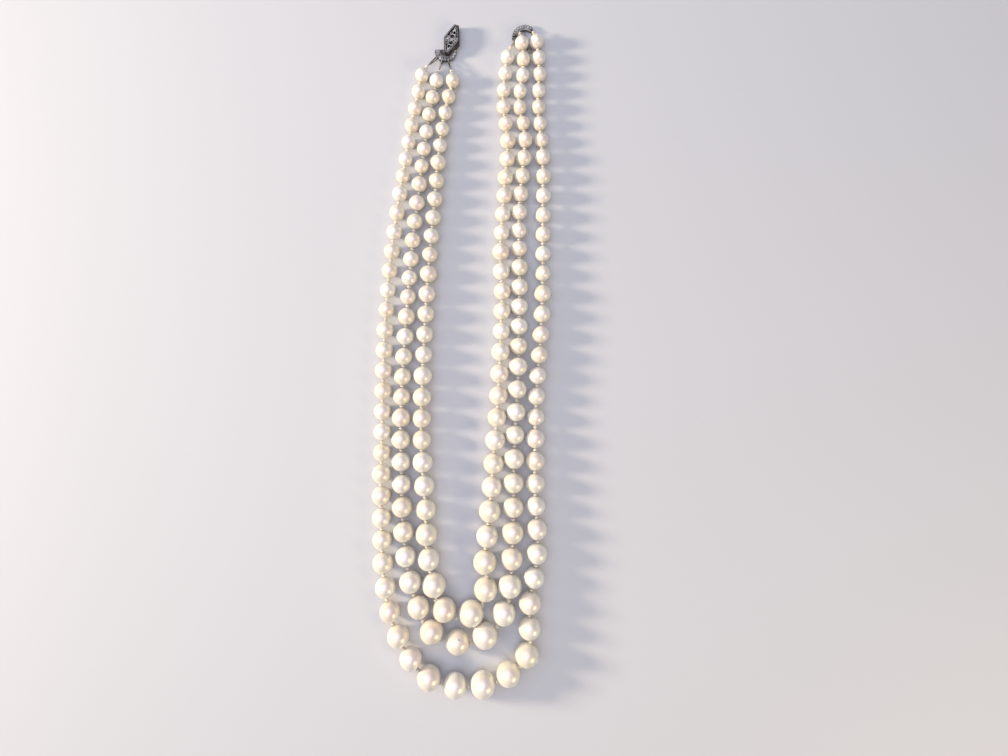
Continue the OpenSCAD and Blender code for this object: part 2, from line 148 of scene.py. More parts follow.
# Geometry trees: inputs are (name, socket type) pairs, and geometry comes first
class Grower(NodeMaker):
    def __init__(self, name, inputs):
        super().__init__(bpy.data.node_groups.new(name, "GeometryNodeTree"))
        face = self.tree.interface
        face.new_socket("Geometry", in_out="OUTPUT", socket_type="NodeSocketGeometry")
        face.new_socket("Geometry", in_out="INPUT", socket_type="NodeSocketGeometry")
        for label, kind in inputs:
            face.new_socket(label, in_out="INPUT", socket_type="NodeSocket" + kind)
        self.given = self.add("NodeGroupInput")

    def input(self, name):
        return self.given.output(name)

    def attribute(self, name, kind="FLOAT"):
        return self.add("GeometryNodeInputNamedAttribute", {"data_type": kind}, {"Name": name})

    def stored(self, geometry, name, value, kind="FLOAT"):
        return self.add("GeometryNodeStoreNamedAttribute", {"data_type": kind, "domain": "POINT"},
                        {"Geometry": geometry, "Name": name, "Value": value})

    # every tree ends in real geometry with its material
    def close(self, geometry, material):
        real = self.add("GeometryNodeRealizeInstances", {}, {"Geometry": geometry})
        smooth = self.add("GeometryNodeSetShadeSmooth", {}, {"Geometry": real})
        done = self.add("GeometryNodeSetMaterial", {}, {"Geometry": smooth, "Material": material})
        end = self.tree.nodes.new("NodeGroupOutput")
        self.tree.links.new(done.socket, end.inputs[0])
        return self.tree


def linked(name, data):
    thing = bpy.data.objects.new(name, data)
    bpy.context.scene.collection.objects.link(thing)
    return thing


# A plain mesh object; attributes are name: (type, values) on its points
def newPiece(name, points, edges=(), faces=(), attributes=None):
    mesh = bpy.data.meshes.new(name)
    mesh.from_pydata([tuple(p) for p in points], [tuple(e) for e in edges], [tuple(f) for f in faces])
    for label, (kind, values) in (attributes or {}).items():
        layer = mesh.attributes.new(label, kind, "POINT")
        flat = np.array(values, np.float32).ravel()
        layer.data.foreach_set("vector" if kind == "FLOAT_VECTOR" else "value", flat)
    return linked(name, mesh)


def finishedMesh(thing):
    bpy.context.view_layer.update()
    graph = bpy.context.evaluated_depsgraph_get()
    return bpy.data.meshes.new_from_object(thing.evaluated_get(graph), preserve_all_data_layers=True,
                                           depsgraph=graph)


# Keeps what a piece's modifiers make as its plain mesh
def baked(piece):
    mesh = finishedMesh(piece)
    piece.modifiers.clear()
    piece.data = mesh
    return piece


def grown(piece, tree, values):
    modifier = piece.modifiers.new("grow", "NODES")
    modifier.node_group = tree
    for item in tree.interface.items_tree:
        if item.in_out == "INPUT" and item.name in values:
            modifier[item.identifier] = values[item.name]
    return baked(piece)


def shaped(piece, kind, **settings):
    modifier = piece.modifiers.new(kind.lower(), kind)
    for name, value in settings.items():
        setattr(modifier, name, value)
    return baked(piece)


# What bmesh has made, as a piece of its own
def kept(name, shape):
    piece = newPiece(name, [])
    shape.to_mesh(piece.data)
    shape.free()
    return piece


# Points the faces outwards and marks the corners sharper than an angle in degrees
def tidied(piece, sharpAngle=50):
    shape = bmesh.new()
    shape.from_mesh(piece.data)
    bmesh.ops.recalc_face_normals(shape, faces=shape.faces)
    shape.to_mesh(piece.data)
    shape.free()
    piece.data.set_sharp_from_angle(angle=math.radians(sharpAngle))
    return piece


def placed(piece, node):
    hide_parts(node)
    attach(piece, "root")
    triangles = sum(len(p.vertices) - 2 for p in piece.data.polygons)
    print("piece", piece.name, triangles, "triangles")


# The merged shape of a CAD node, from a copy of its loose triangles
def mergedShape(node):
    shape = bmesh.new()
    shape.from_mesh(frame["nodes"][node].data)
    bmesh.ops.remove_doubles(shape, verts=shape.verts, dist=weldReach)
    return shape


def islands(shape):
    waiting = set(shape.verts)
    while waiting:
        reached = {waiting.pop()}
        edge = set(reached)
        while edge:
            edge = {e.other_vert(v) for v in edge for e in v.link_edges} - reached
            reached |= edge
        waiting -= reached
        yield reached


# Camera: as high above the table as the photo was taken, leaning back a little
cameraSpec = {"over": (10.2 * mm, -0.5 * mm), "height": 193.7 * mm, "lean": 2.24,
              "focalPixels": 552.9, "photoWidth": 1008, "photoHeight": 756,
              "axisPixelX": 492.0, "axisPixelY": 330.5, "filmWidth": 36.0}


def makeCamera(spec):
    data = bpy.data.cameras.new("camera")
    data.sensor_width = spec["filmWidth"]
    data.lens = spec["focalPixels"] / spec["photoWidth"] * spec["filmWidth"]
    data.shift_x = (spec["photoWidth"] / 2 - spec["axisPixelX"]) / spec["photoWidth"]
    data.shift_y = (spec["axisPixelY"] - spec["photoHeight"] / 2) / spec["photoWidth"]
    data.clip_start = mm
    camera = linked("camera", data)
    camera.location = (*spec["over"], spec["height"])
    camera.rotation_euler = (math.radians(spec["lean"]), 0, 0)
    bpy.context.scene.camera = camera


makeCamera(cameraSpec)
print("camera set")


# Light: a wide lavender sky overhead that shows as the broad sheen of each pearl, a low
# sun on the left that throws the shadows to the right but leaves no spot on the pearls,
# and a small warm lamp whose spot shows at the lower right of each pearl
lightSpec = {
    "sky": {"from": (-0.24, 0.2, 1.0), "away": 0.75, "size": (1.1, 1.0), "watts": 5.6,
            "colour": (0.7, 0.76, 1.0), "spot": True},
    "sun": {"from": (-0.95, 0.1, 0.29), "away": 0.8, "size": (0.14, 0.1), "watts": 8.5,
            "colour": (1.0, 0.88, 0.7), "spot": False},
    "lamp": {"from": (0.65, -0.58, 0.5), "away": 0.6, "size": (0.2, 0.2), "watts": 1.0,
             "colour": (1.0, 0.84, 0.6), "spot": True},
}
worldSpec = {"colour": (0.86, 0.88, 0.93), "strength": 0.16}
floorSpec = {"radius": 1.6, "sides": 96, "colour": (0.6, 0.59, 0.58)}
viewSpec = {"transform": "Standard", "exposure": 0.2}


def makeLight(name, spec):
    data = bpy.data.lights.new(name, "AREA")
    data.shape = "RECTANGLE"
    data.size, data.size_y = spec["size"]
    data.energy = spec["watts"]
    data.color = spec["colour"]
    light = linked(name, data)
    light.location = Vector(spec["from"]).normalized() * spec["away"]
    light.rotation_mode = "QUATERNION"
    light.rotation_quaternion = light.location.to_track_quat("Z", "Y")
    light.visible_glossy = spec["spot"]


def makeWorld(spec):
    world = bpy.data.worlds.new("studio")
    world.use_nodes = True
    background = world.node_tree.nodes["Background"]
    background.inputs["Color"].default_value = (*spec["colour"], 1)
    background.inputs["Strength"].default_value = spec["strength"]
    bpy.context.scene.world = world


def newMaterial(name):
    material = bpy.data.materials.new(name)
    material.use_nodes = True
    shader = material.node_tree.nodes["Principled BSDF"]
    return material, NodeMaker(material.node_tree), shader


# Fixed values go straight on the shader's own sockets, wires are linked
def finish(maker, shader, values):
    for name, value in values.items():
        if isinstance(value, Wire):
            maker.tree.links.new(value.socket, shader.inputs[name])
        else:
            shader.inputs[name].default_value = value


def makeFloor(spec):
    ring = [Matrix.Rotation(math.tau * k / spec["sides"], 3, "Z") @ Vector((spec["radius"], 0, 0))
            for k in range(spec["sides"])]
    floor = newPiece("floor", ring, faces=[range(spec["sides"])])
    material, maker, shader = newMaterial("paleCard")
    place = maker.add("ShaderNodeTexCoord", output="Object")
    grain = maker.add("ShaderNodeTexNoise", {}, {"Vector": place, "Scale": 900.0, "Detail": 3.0})
    bump = maker.add("ShaderNodeBump", {}, {"Strength": 0.05, "Distance": 0.1 * mm, "Height": grain})
    finish(maker, shader, {"Base Color": (*spec["colour"], 1), "Roughness": 0.8, "Normal": bump})
    floor.data.materials.append(material)


for name, spec in lightSpec.items():
    makeLight(name, spec)
makeWorld(worldSpec)
makeFloor(floorSpec)
bpy.context.scene.view_settings.view_transform = viewSpec["transform"]
bpy.context.scene.view_settings.exposure = viewSpec["exposure"]
print("stage and light set")


# Pearls: where each one lies, how large it is and which way it is drilled, read from
# the drilled balls of the frame
strandNames = ("outer", "middle", "inner")
pearlSpec = {"sides": 32, "rings": 20, "boreShare": 0.115, "unevenness": 0.006, "seed": 7}


def roundOf(points):
    rows = np.hstack([2 * points, np.ones((len(points), 1))])
    fit = np.linalg.lstsq(rows, (points ** 2).sum(axis=1), rcond=None)[0]
    centre = fit[:3]
    return Vector(centre), math.sqrt(fit[3] + centre @ centre)


# The walls of the bore are the faces that don't look away from the middle
def boreOf(faces, centre, awayLimit=0.5):
    walls = [f.normal for f in faces
             if f.normal.dot((f.calc_center_median() - centre).normalized()) < awayLimit]
    return Vector(np.linalg.svd(np.array(walls))[2][2]).normalized()


def readPearls(strand):
    shape = mergedShape(strand + "_pearls")
    found = []
    for island in islands(shape):
        centre, radius = roundOf(np.array([v.co for v in island], float))
        faces = {f for v in island for f in v.link_faces}
        found.append({"centre": centre, "radius": radius, "bore": boreOf(faces, centre)})
    shape.free()
    return strung(found, strand)


# Puts the pearls in the order of the silk, from the clasp to the hook
def strung(found, strand):
    low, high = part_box(strand + "_clasp_loop")
    here = (low + high) / 2
    row = []
    while found:
        found.sort(key=lambda pearl: (pearl["centre"] - here).length)
        row.append(found.pop(0))
        here = row[-1]["centre"]
    for i, pearl in enumerate(row):
        ahead = row[min(i + 1, len(row) - 1)]["centre"] - row[max(i - 1, 0)]["centre"]
        if pearl["bore"].dot(ahead) < 0:
            pearl["bore"].negate()
    return row


strands = {name: readPearls(name) for name in strandNames}
print("pearls read:", {name: len(row) for name, row in strands.items()})


# One drilled ball from a grid rolled up, set on every place of the strand. The tone of a
# pearl, a random number from 0 to 1, also turns it on its bore and picks its lumps
def pearlTree():
    grow = Grower("pearlString", [("Bore share", "Float"), ("Sides", "Int"), ("Rings", "Int"),
                                  ("Unevenness", "Float"), ("Nacre", "Material")])
    sides, rings, share = grow.input("Sides"), grow.input("Rings"), grow.input("Bore share")
    grid = grow.add("GeometryNodeMeshGrid", {}, {"Size X": 1.0, "Size Y": 1.0,
                                                 "Vertices X": sides + 1, "Vertices Y": rings + 1})
    spot = grow.add("ShaderNodeSeparateXYZ", {}, {0: grow.add("GeometryNodeInputPosition")})
    turn = (spot + 0.5) * math.tau
    row = spot.output("Y") + 0.5
    closing = row > 1 - 0.5 / rings                      # the last row meets the first: the bore wall
    rim = grow.add("ShaderNodeMath", {"operation": "ARCSINE"}, {0: share})
    fall = rim + (math.pi - 2 * rim) * (row * rings / (rings - 1)) * (1 - closing)
    ball = grow.joined(fall.sine() * turn.cosine(), fall.sine() * turn.sine(), fall.cosine())
    rolled = grow.add("GeometryNodeSetPosition", {}, {"Geometry": grid, "Position": ball})
    closed = grow.add("GeometryNodeMergeByDistance", {}, {"Geometry": rolled, "Distance": 1e-4})
    ballPlace = grow.add("GeometryNodeInputPosition")
    pearl = grow.stored(closed, "pearlPlace", ballPlace, "FLOAT_VECTOR")
    tone, radius = grow.attribute("tone"), grow.attribute("radius")
    drilled = grow.add("FunctionNodeAlignRotationToVector", {"axis": "Z"},
                       {"Vector": grow.attribute("bore", "FLOAT_VECTOR")})
    spin = grow.add("FunctionNodeAxisAngleToRotation", {}, {"Axis": upward, "Angle": tone * 40})
    turned = grow.add("FunctionNodeRotateRotation", {"rotation_space": "LOCAL"},
                      {"Rotation": drilled, "Rotate By": spin})
    string = grow.add("GeometryNodeInstanceOnPoints", {},
                      {"Points": grow.input("Geometry"), "Instance": pearl, "Rotation": turned,
                       "Scale": grow.joined(radius, radius, radius)})
    real = grow.add("GeometryNodeRealizeInstances", {}, {"Geometry": string})
    lumps = grow.add("ShaderNodeTexNoise", {"noise_dimensions": "4D"},
                     {"Vector": grow.attribute("pearlPlace", "FLOAT_VECTOR"), "W": tone * 60,
                      "Scale": 0.9, "Detail": 1.0})
    push = grow.add("ShaderNodeVectorMath", {"operation": "SCALE"},
                    {0: grow.add("GeometryNodeInputNormal"),
                     "Scale": (lumps - 0.5) * radius * grow.input("Unevenness")})
    uneven = grow.add("GeometryNodeSetPosition", {}, {"Geometry": real, "Offset": push})
    return grow.close(uneven, grow.input("Nacre"))


def makePearls(name, row, tree, material, spec, luck):
    points = [pearl["centre"] for pearl in row]
    piece = newPiece(name + "Pearls", points, attributes={
        "radius": ("FLOAT", [pearl["radius"] for pearl in row]),
        "bore": ("FLOAT_VECTOR", [pearl["bore"] for pearl in row]),
        "tone": ("FLOAT", [luck.random() for pearl in row])})
    grown(piece, tree, {"Bore share": spec["boreShare"], "Sides": spec["sides"], "Rings": spec["rings"],
                        "Unevenness": spec["unevenness"], "Nacre": material})
    placed(tidied(piece), name + "_pearls")


# Nacre: cream with a pale or rose cast that differs from pearl to pearl, soft clouds,
# worn collars round the bores and a few small pits
nacreSpec = {"cream": (0.9, 0.79, 0.6), "rose": (0.91, 0.77, 0.64), "pale": (0.93, 0.87, 0.76),
             "warm": (0.8, 0.66, 0.47), "worn": (0.5, 0.4, 0.27), "pit": (0.3, 0.28, 0.24),
             "gleam": (0.82, 0.8, 1.0), "bloom": (1.0, 0.84, 0.62)}


def makeNacre(spec):
    material, maker, shader = newMaterial("nacre")
    place = maker.add("ShaderNodeAttribute", {"attribute_name": "pearlPlace"}, output="Vector")
    tone = maker.add("ShaderNodeAttribute", {"attribute_name": "tone"}, output="Fac")
    seed = tone * 90
    clouds = maker.add("ShaderNodeTexNoise", {"noise_dimensions": "4D"},
                       {"Vector": place, "W": seed, "Scale": 1.1, "Detail": 3.0})
    fine = maker.add("ShaderNodeTexNoise", {"noise_dimensions": "4D"},
                     {"Vector": place, "W": seed, "Scale": 14.0, "Detail": 4.0})
    casts = maker.add("ShaderNodeValToRGB", {"stops": [(0.0, spec["cream"]), (0.45, spec["pale"]),
                                                       (0.7, spec["rose"]), (1.0, spec["cream"])]},
                      {0: tone})
    cloudy = maker.blend(maker.ease(clouds, 0.38, 0.66) * 0.6, casts, (*spec["pale"], 1))
    depth = maker.add("ShaderNodeSeparateXYZ", {}, {0: place}).output("Z")
    growth = (depth * 26 + clouds * 14).sine() * 0.5 + 0.5
    mottle = maker.add("ShaderNodeTexNoise", {"noise_dimensions": "4D"},
                       {"Vector": place, "W": seed, "Scale": 3.6, "Detail": 3.0, "Distortion": 0.6})
    mottled = maker.ease(mottle + growth * 0.06, 0.5, 0.78) * 0.38
    shaded = maker.blend(mottled, cloudy, (*spec["warm"], 1))
    collar = maker.ease(depth.size() + (fine - 0.5) * 0.06, 0.95, 0.99)
    cells = maker.add("ShaderNodeTexVoronoi", {"voronoi_dimensions": "4D"},
                      {"Vector": place, "W": seed, "Scale": 1.25})
    pits = maker.ease(cells + (fine - 0.5) * 0.06, 0.13, 0.08) * maker.ease(tone, 0.45, 0.49)
    worn = maker.blend(collar * 0.75, shaded, (*spec["worn"], 1))
    pitted = maker.blend(pits * 0.8, worn, (*spec["pit"], 1))
    height = clouds * 0.6 + mottle * 0.3 + growth * 0.05 + fine * 0.14 - pits * 0.7 - collar * 0.2
    bump = maker.add("ShaderNodeBump", {}, {"Strength": 0.4, "Distance": 0.07 * mm, "Height": height})
    finish(maker, shader, {
        "Base Color": pitted, "Roughness": 0.36 + (clouds - 0.5) * 0.12 + pits * 0.3, "Normal": bump,
        "Metallic": 0.15, "IOR": 1.6, "Specular IOR Level": 0.9,
        "Specular Tint": (*spec["gleam"], 1),
        "Coat Weight": 1.0, "Coat Roughness": 0.28, "Coat IOR": 1.55,
        "Thin Film Thickness": 420.0, "Thin Film IOR": 1.5,
        "Sheen Weight": 0.4, "Sheen Roughness": 0.4, "Sheen Tint": (*spec["bloom"], 1),
        "Subsurface Weight": 0.12, "Subsurface Radius": (1.0, 0.75, 0.5), "Subsurface Scale": 0.8 * mm})
    return material


luck = random.Random(pearlSpec["seed"])
nacre = makeNacre(nacreSpec)
pearls = pearlTree()
for name in strandNames:
    makePearls(name, strands[name], pearls, nacre, pearlSpec, luck)
print("pearls made")


# Round wire along lines of points: a tree that all the silk and coiled wire use. It
# keeps the way along the wire in millimetres and the way round it, for the materials
def wireTree():
    grow = Grower("roundWire", [("Sides", "Int"), ("Surface", "Material")])
    line = grow.add("GeometryNodeMeshToCurve", {}, {"Mesh": grow.input("Geometry")})
    along = grow.add("GeometryNodeSplineParameter").output("Length") / mm
    measured = grow.stored(line, "along", along)
    ring = grow.add("GeometryNodeCurvePrimitiveCircle", {"mode": "RADIUS"},
                    {"Resolution": grow.input("Sides"), "Radius": 1.0})
    section = grow.stored(ring, "round", grow.add("GeometryNodeInputPosition"), "FLOAT_VECTOR")
    swept = grow.add("GeometryNodeCurveToMesh", {},
                     {"Curve": measured, "Profile Curve": section, "Fill Caps": True,
                      "Scale": grow.attribute("thick")})
    return grow.close(swept, grow.input("Surface"))


# Lines are lists of (point, radius); each becomes one wire, and a closed one meets itself
def makeWire(name, lines, material, sides, closed=False):
    points, edges, thick = [], [], []
    for line in lines:
        first = len(points)
        points += [point for point, radius in line]
        thick += [radius for point, radius in line]
        edges += [(k, k + 1) for k in range(first, len(points) - 1)]
        if closed:
            edges.append((len(points) - 1, first))
    piece = newPiece(name, points, edges, attributes={"thick": ("FLOAT", thick)})
    grown(piece, roundWire, {"Sides": sides, "Surface": material})
    return tidied(piece, 70)


roundWire = wireTree()


# Silk: one cord through every bore, wound into a knot in each gap and into a last one
# past each end pearl, where it holds the wire loop. The end of the thread is looked for
# between endFrom and endWithin of the pearl's mouth
silkSpec = {"radius": 0.25 * mm, "knot": 0.7 * mm, "endKnot": 0.66 * mm, "knotClear": 0.08 * mm,
            "hold": 0.42 * mm, "endFrom": 0.1 * mm, "endWithin": 4 * mm,
            "turns": 2.3, "steps": 13, "swell": 0.5, "windRadius": 0.2 * mm, "lean": 16.0,
            "sides": 8, "seed": 3, "plies": 3, "plyPitch": 0.55,
            # the first two colours are the painted shade in the valleys between the plies and the
            # painted highlight on their ridges
            "plyValleyShade": (0.7, 0.6, 0.44), "light": (0.93, 0.86, 0.7), "soil": (0.42, 0.33, 0.22),
            "bloom": (1.0, 0.94, 0.82)}


# A knot is a short helix that swells from the axis and back, a little askew
def knotLine(start, end, width, spec, luck):
    axis = (end - start).normalized()
    side = axis.orthogonal().normalized()
    middle = (start + end) / 2
    half = (end - start).length / 2 - spec["windRadius"] - spec["knotClear"]
    swing = Matrix.Rotation(math.radians(spec["lean"]) * luck.uniform(0.5, 1), 3, side)
    first = luck.random() * math.tau
    line = []
    for k in range(round(spec["turns"] * spec["steps"]) + 1):
        share = k / (spec["turns"] * spec["steps"])
        swell = math.sin(math.pi * share) ** spec["swell"] if 0 < share < 1 else 0
        out = Matrix.Rotation(first + math.tau * k / spec["steps"], 3, axis) @ side
        coil = axis * half * (2 * share - 1) + out * (width - spec["windRadius"]) * swell
        line.append((middle + swing @ coil, spec["windRadius"]))
    return line


# The far end of the silk past an end pearl, a little inside the wire loop that it holds
def endReach(strand, mouth, away, spec):
    spots = np.array([v.co for v in frame["nodes"][strand + "_thread"].data.vertices], float)
    steps = (spots - np.array(mouth)) @ np.array(away)
    near = np.linalg.norm(spots - np.array(mouth), axis=1) < spec["endWithin"]
    beyond = near & (steps > spec["endFrom"])
    axis = Vector(spots[beyond].mean(axis=0)) - mouth
    return mouth + axis.normalized() * (steps[beyond].max() + spec["hold"])


def silkLine(strand, row, spec, luck):
    mouths = [(pearl["centre"] - pearl["bore"] * pearl["radius"],
               pearl["centre"] + pearl["bore"] * pearl["radius"]) for pearl in row]
    first = endReach(strand, mouths[0][0], -row[0]["bore"], spec)
    last = endReach(strand, mouths[-1][1], row[-1]["bore"], spec)
    line = knotLine(first, mouths[0][0], spec["endKnot"], spec, luck)
    for k, pearl in enumerate(row):
        line += [(mouths[k][0], spec["radius"]), (pearl["centre"], spec["radius"]),
                 (mouths[k][1], spec["radius"])]
        if k + 1 < len(row):
            line += knotLine(mouths[k][1], mouths[k + 1][0], spec["knot"], spec, luck)
    return line + knotLine(mouths[-1][1], last, spec["endKnot"], spec, luck)


# Plies that wind round the cord, painted darker between them as painted shade and lighter on top as
# painted highlight, with fine fibres across them
def makeSilk(spec):
    material, maker, shader = newMaterial("silk")
    along = maker.add("ShaderNodeAttribute", {"attribute_name": "along"}, output="Fac")
    ring = maker.add("ShaderNodeAttribute", {"attribute_name": "round"}, output="Vector")
    spot = maker.add("ShaderNodeSeparateXYZ", {}, {0: ring})
    turn = maker.add("ShaderNodeMath", {"operation": "ARCTAN2"}, {0: spot.output("Y"), 1: spot})
    ply = (turn * spec["plies"] + along * (math.tau / spec["plyPitch"])).sine() * 0.5 + 0.5
    place = maker.add("ShaderNodeTexCoord", output="Object")
    fibre = maker.add("ShaderNodeTexNoise", {}, {"Vector": place, "Scale": 9000.0, "Detail": 3.0})
    soil = maker.add("ShaderNodeTexNoise", {}, {"Vector": place, "Scale": 160.0, "Detail": 2.0})
    # painted shade in the valleys between the plies and a painted highlight on their ridges
    plyShadedSilk = maker.blend(ply, (*spec["plyValleyShade"], 1), (*spec["light"], 1))
    soiled = maker.blend(maker.ease(soil, 0.45, 0.75) * 0.35, plyShadedSilk, (*spec["soil"], 1))
    bump = maker.add("ShaderNodeBump", {}, {"Strength": 0.8, "Distance": 0.05 * mm,
                                            "Height": ply + fibre * 0.6})
    finish(maker, shader, {
        "Base Color": soiled, "Roughness": 0.5 + fibre * 0.2, "Normal": bump,
        "Sheen Weight": 0.5, "Sheen Roughness": 0.4, "Sheen Tint": (*spec["bloom"], 1),
        "Subsurface Weight": 0.1, "Subsurface Radius": (1.0, 0.7, 0.4), "Subsurface Scale": 0.3 * mm})
    return material


silk = makeSilk(silkSpec)
luck = random.Random(silkSpec["seed"])
for name in strandNames:
    line = silkLine(name, strands[name], silkSpec, luck)
    placed(makeWire(name + "Silk", [line], silk, silkSpec["sides"]), name + "_thread")
print("silk made")


# Loops of coiled wire: a fine wire wound close round the loop's own path, which is read
# from the frame, over a dark core
coilSpec = {"wire": 0.085 * mm, "pitch": 0.18 * mm, "steps": 10, "sides": 6, "core": 0.12 * mm,
            "bright": (0.7, 0.66, 0.58), "tarnish": (0.09, 0.07, 0.055)}


# The corners of the loop's skin that face straight out of its plane run along its path
def loopPath(node, facingShare=0.9):
    shape = mergedShape(node)
    spots = np.array([v.co for v in shape.verts], float)
    middle = spots.mean(axis=0)
    side = np.linalg.svd(spots - middle)[2][2]
    reach = ((spots - middle) @ side).max()
    facing = {v for v, spot in zip(shape.verts, spots) if (spot - middle) @ side > facingShare * reach}
    here = min(facing, key=lambda v: v.index)
    path = []
    while here:
        facing.discard(here)
        path.append(here.co - Vector(side) * reach)
        here = next((e.other_vert(here) for e in here.link_edges if e.other_vert(here) in facing), None)
    shape.free()
    return path, Vector(side), reach


# The same path, closed, in even steps
def evenSteps(path, step):
    ring = np.array([*path, path[0]], float)
    run = np.concatenate([[0], np.cumsum(np.linalg.norm(np.diff(ring, axis=0), axis=1))])
    count = round(run[-1] / step)
    places = np.linspace(0, run[-1], count, endpoint=False)
    return [Vector([np.interp(at, run, ring[:, axis]) for axis in range(3)]) for at in places]


def coilLine(path, side, reach, spec):
    spots = evenSteps(path, spec["pitch"] / spec["steps"])
    count = len(spots)
    turns = round(count / spec["steps"])
    line = []
    for k, spot in enumerate(spots):
        onward = (spots[(k + 1) % count] - spots[k - 1]).normalized()
        out = side.cross(onward).normalized()
        angle = math.tau * turns * k / count
        offset = (side * math.cos(angle) + out * math.sin(angle)) * (reach - spec["wire"])
        line.append((spot + offset, spec["wire"]))
    return line


def makeLoop(node, material, spec):
    path, side, reach = loopPath(node)
    core = [(spot, spec["core"]) for spot in path]
    lines = [coilLine(path, side, reach, spec), core]
    strand, end, _ = node.split("_")
    piece = makeWire(strand + end.title() + "Loop", lines, material, spec["sides"], closed=True)
    placed(piece, node)


def makeCoiledWire(spec):
    material, maker, shader = newMaterial("coiledWire")
    place = maker.add("ShaderNodeTexCoord", output="Object")
    tarnish = maker.add("ShaderNodeTexNoise", {}, {"Vector": place, "Scale": 260.0, "Detail": 4.0})
    fine = maker.add("ShaderNodeTexNoise", {}, {"Vector": place, "Scale": 5000.0, "Detail": 3.0})
    dark = maker.ease(tarnish + fine * 0.2, 0.5, 0.78)
    colour = maker.blend(dark, (*spec["bright"], 1), (*spec["tarnish"], 1))
    bump = maker.add("ShaderNodeBump", {}, {"Strength": 0.3, "Distance": 0.01 * mm, "Height": fine})
    finish(maker, shader, {"Base Color": colour, "Roughness": 0.22 + dark * 0.3 + fine * 0.1,
                           "Metallic": 1 - dark * 0.35, "Normal": bump})
    return material


coiledWire = makeCoiledWire(coilSpec)
for end in ("clasp", "hook"):
    for name in strandNames:
        makeLoop(f"{name}_{end}_loop", coiledWire, coilSpec)
print("loops made")


# Metal parts are made one by one, marked with how bright wear has left them, from 0 for black
# to 1 for bare metal, and joined into one piece. The crescent's lower marks are partly painted shade
wearAndShadeParts = {"box": 0.22, "scrolls": 0.62, "rope": 0.6, "bead": 0.75, "hook": 0.6,
             "fan": 0.42, "fanEyelets": 0.62, "fanLeaf": 0.55,
             # the crescent, its eyelets and its leaves are marked darker than the fan's, partly as
             # tarnish and partly as painted shade
             "crescent": 0.3, "crescentEyelets": 0.55, "crescentLeaf": 0.5}


def marked(piece, part):
    layer = piece.data.attributes.new("wear", "FLOAT", "POINT")
    layer.data.foreach_set("value", [wearAndShadeParts[part]] * len(piece.data.vertices))
    piece.data.materials.clear()
    piece.data.materials.append(silver)
    return piece


def joinedParts(name, parts):
    first = parts[0]
    with bpy.context.temp_override(active_object=first, selected_editable_objects=parts,
                                   selected_objects=parts):
        bpy.ops.object.join()
    first.name = name
    return first


# A skin over rings of points with the same number of corners, closed at both ends
def skin(name, rings):
    count = len(rings[0])
    points = [point for ring in rings for point in ring]
    faces = [list(range(count))[::-1], list(range(len(points) - count, len(points)))]
    for row in range(len(rings) - 1):
        for k in range(count):
            a, b = row * count + k, row * count + (k + 1) % count
            faces.append((a, b, b + count, a + count))
    return tidied(newPiece(name, points, faces=faces))


# A flat plate with rounded edges from its outline and the rims of its holes
def platePiece(name, outlines, low, thickness, edge):
    curve = bpy.data.curves.new(name, "CURVE")
    curve.dimensions = "2D"
    curve.fill_mode = "BOTH"
    curve.extrude = thickness / 2 - edge
    curve.bevel_depth = edge
    curve.bevel_resolution = 2
    curve.offset = -edge
    for outline in outlines:
        spline = curve.splines.new("POLY")
        spline.points.add(len(outline) - 1)
        for point, (x, y) in zip(spline.points, outline):
            point.co = (x, y, 0, 1)
        spline.use_cyclic_u = True
    drawn = linked(name, curve)
    mesh = finishedMesh(drawn)
    bpy.data.objects.remove(drawn)
    mesh.transform(Matrix.Translation((0, 0, low + thickness / 2)))
    return tidied(linked(name, mesh))


def polar(radius, angle):
    return Vector((radius * math.cos(math.radians(angle)), radius * math.sin(math.radians(angle))))


# An arc edged with leaf-shaped lobes, each a bump that is rounder the smaller its fullness
def lobedArc(radius, reach, first, last, count, steps=9, fullness=0.6):
    line = []
    for k in range(count * steps + 1):
        share = k / steps
        lobe = abs(math.sin(math.pi * share)) ** fullness
        line.append(polar(radius + reach * lobe, first + (last - first) * share / count))
    return line


def plainArc(radius, first, last, steps=24):
    return [polar(radius, first + (last - first) * k / steps) for k in range(steps + 1)]


# The rounded end of a plate: half a turn from an angle on, round the hole there
def roundEnd(radius, half, hole, start, steps=8):
    return [polar(radius, hole) + polar(half, start + 180 * k / steps) for k in range(1, steps)]


# A small ball that is shaped corner by corner and then moved to its place
def ballPiece(name, radius, place, shapedCorner=None):
    shape = bmesh.new()
    bmesh.ops.create_uvsphere(shape, u_segments=14, v_segments=8, radius=radius)
    if shapedCorner:
        for corner in shape.verts:
            corner.co = shapedCorner(corner.co)
    shape.transform(place)
    return tidied(kept(name, shape), 80)


# A raised leaf on every lobe, narrower outwards, with a vein along it
def leaves(centre, radius, first, last, count, spec):
    def leafCorner(spot):
        vein = 1 - spec["veinDepth"] * math.exp(-(spot.y / spec["veinWidth"]) ** 2)
        return spot * Vector(spec["leaf"]) * Vector((1, 1 - spec["leafTaper"] * spot.x, vein))

    parts = []
    for k in range(count):
        angle = first + (last - first) * (k + 0.5) / count
        spot = centre + polar(radius, angle)
        turned = Matrix.Rotation(math.radians(angle), 4, "Z")
        place = Matrix.Translation((*spot, spec["low"] + spec["thickness"])) @ turned
        parts.append(ballPiece("leaf", 1, place, leafCorner))
    return parts


def ringLine(centre, radius, height, wire, steps=20):
    return [((*(centre + polar(radius, 360 * k / steps)), height), wire) for k in range(steps)]


# Half an S-scroll: from the point where it meets its other half it winds inwards round
# its own middle
def curl(middle, meeting, spec):
    out = meeting - middle
    line = []
    for k in range(spec["curlSteps"] + 1):
        share = k / spec["curlSteps"]
        turned = Matrix.Rotation(math.radians(spec["curlTurn"]) * share, 2) @ out
        inward = max(0, (share - spec["curlFrom"]) / (1 - spec["curlFrom"])) ** spec["curlEase"]
        line.append(middle + turned * (1 - spec["curlIn"] * inward))
    return line


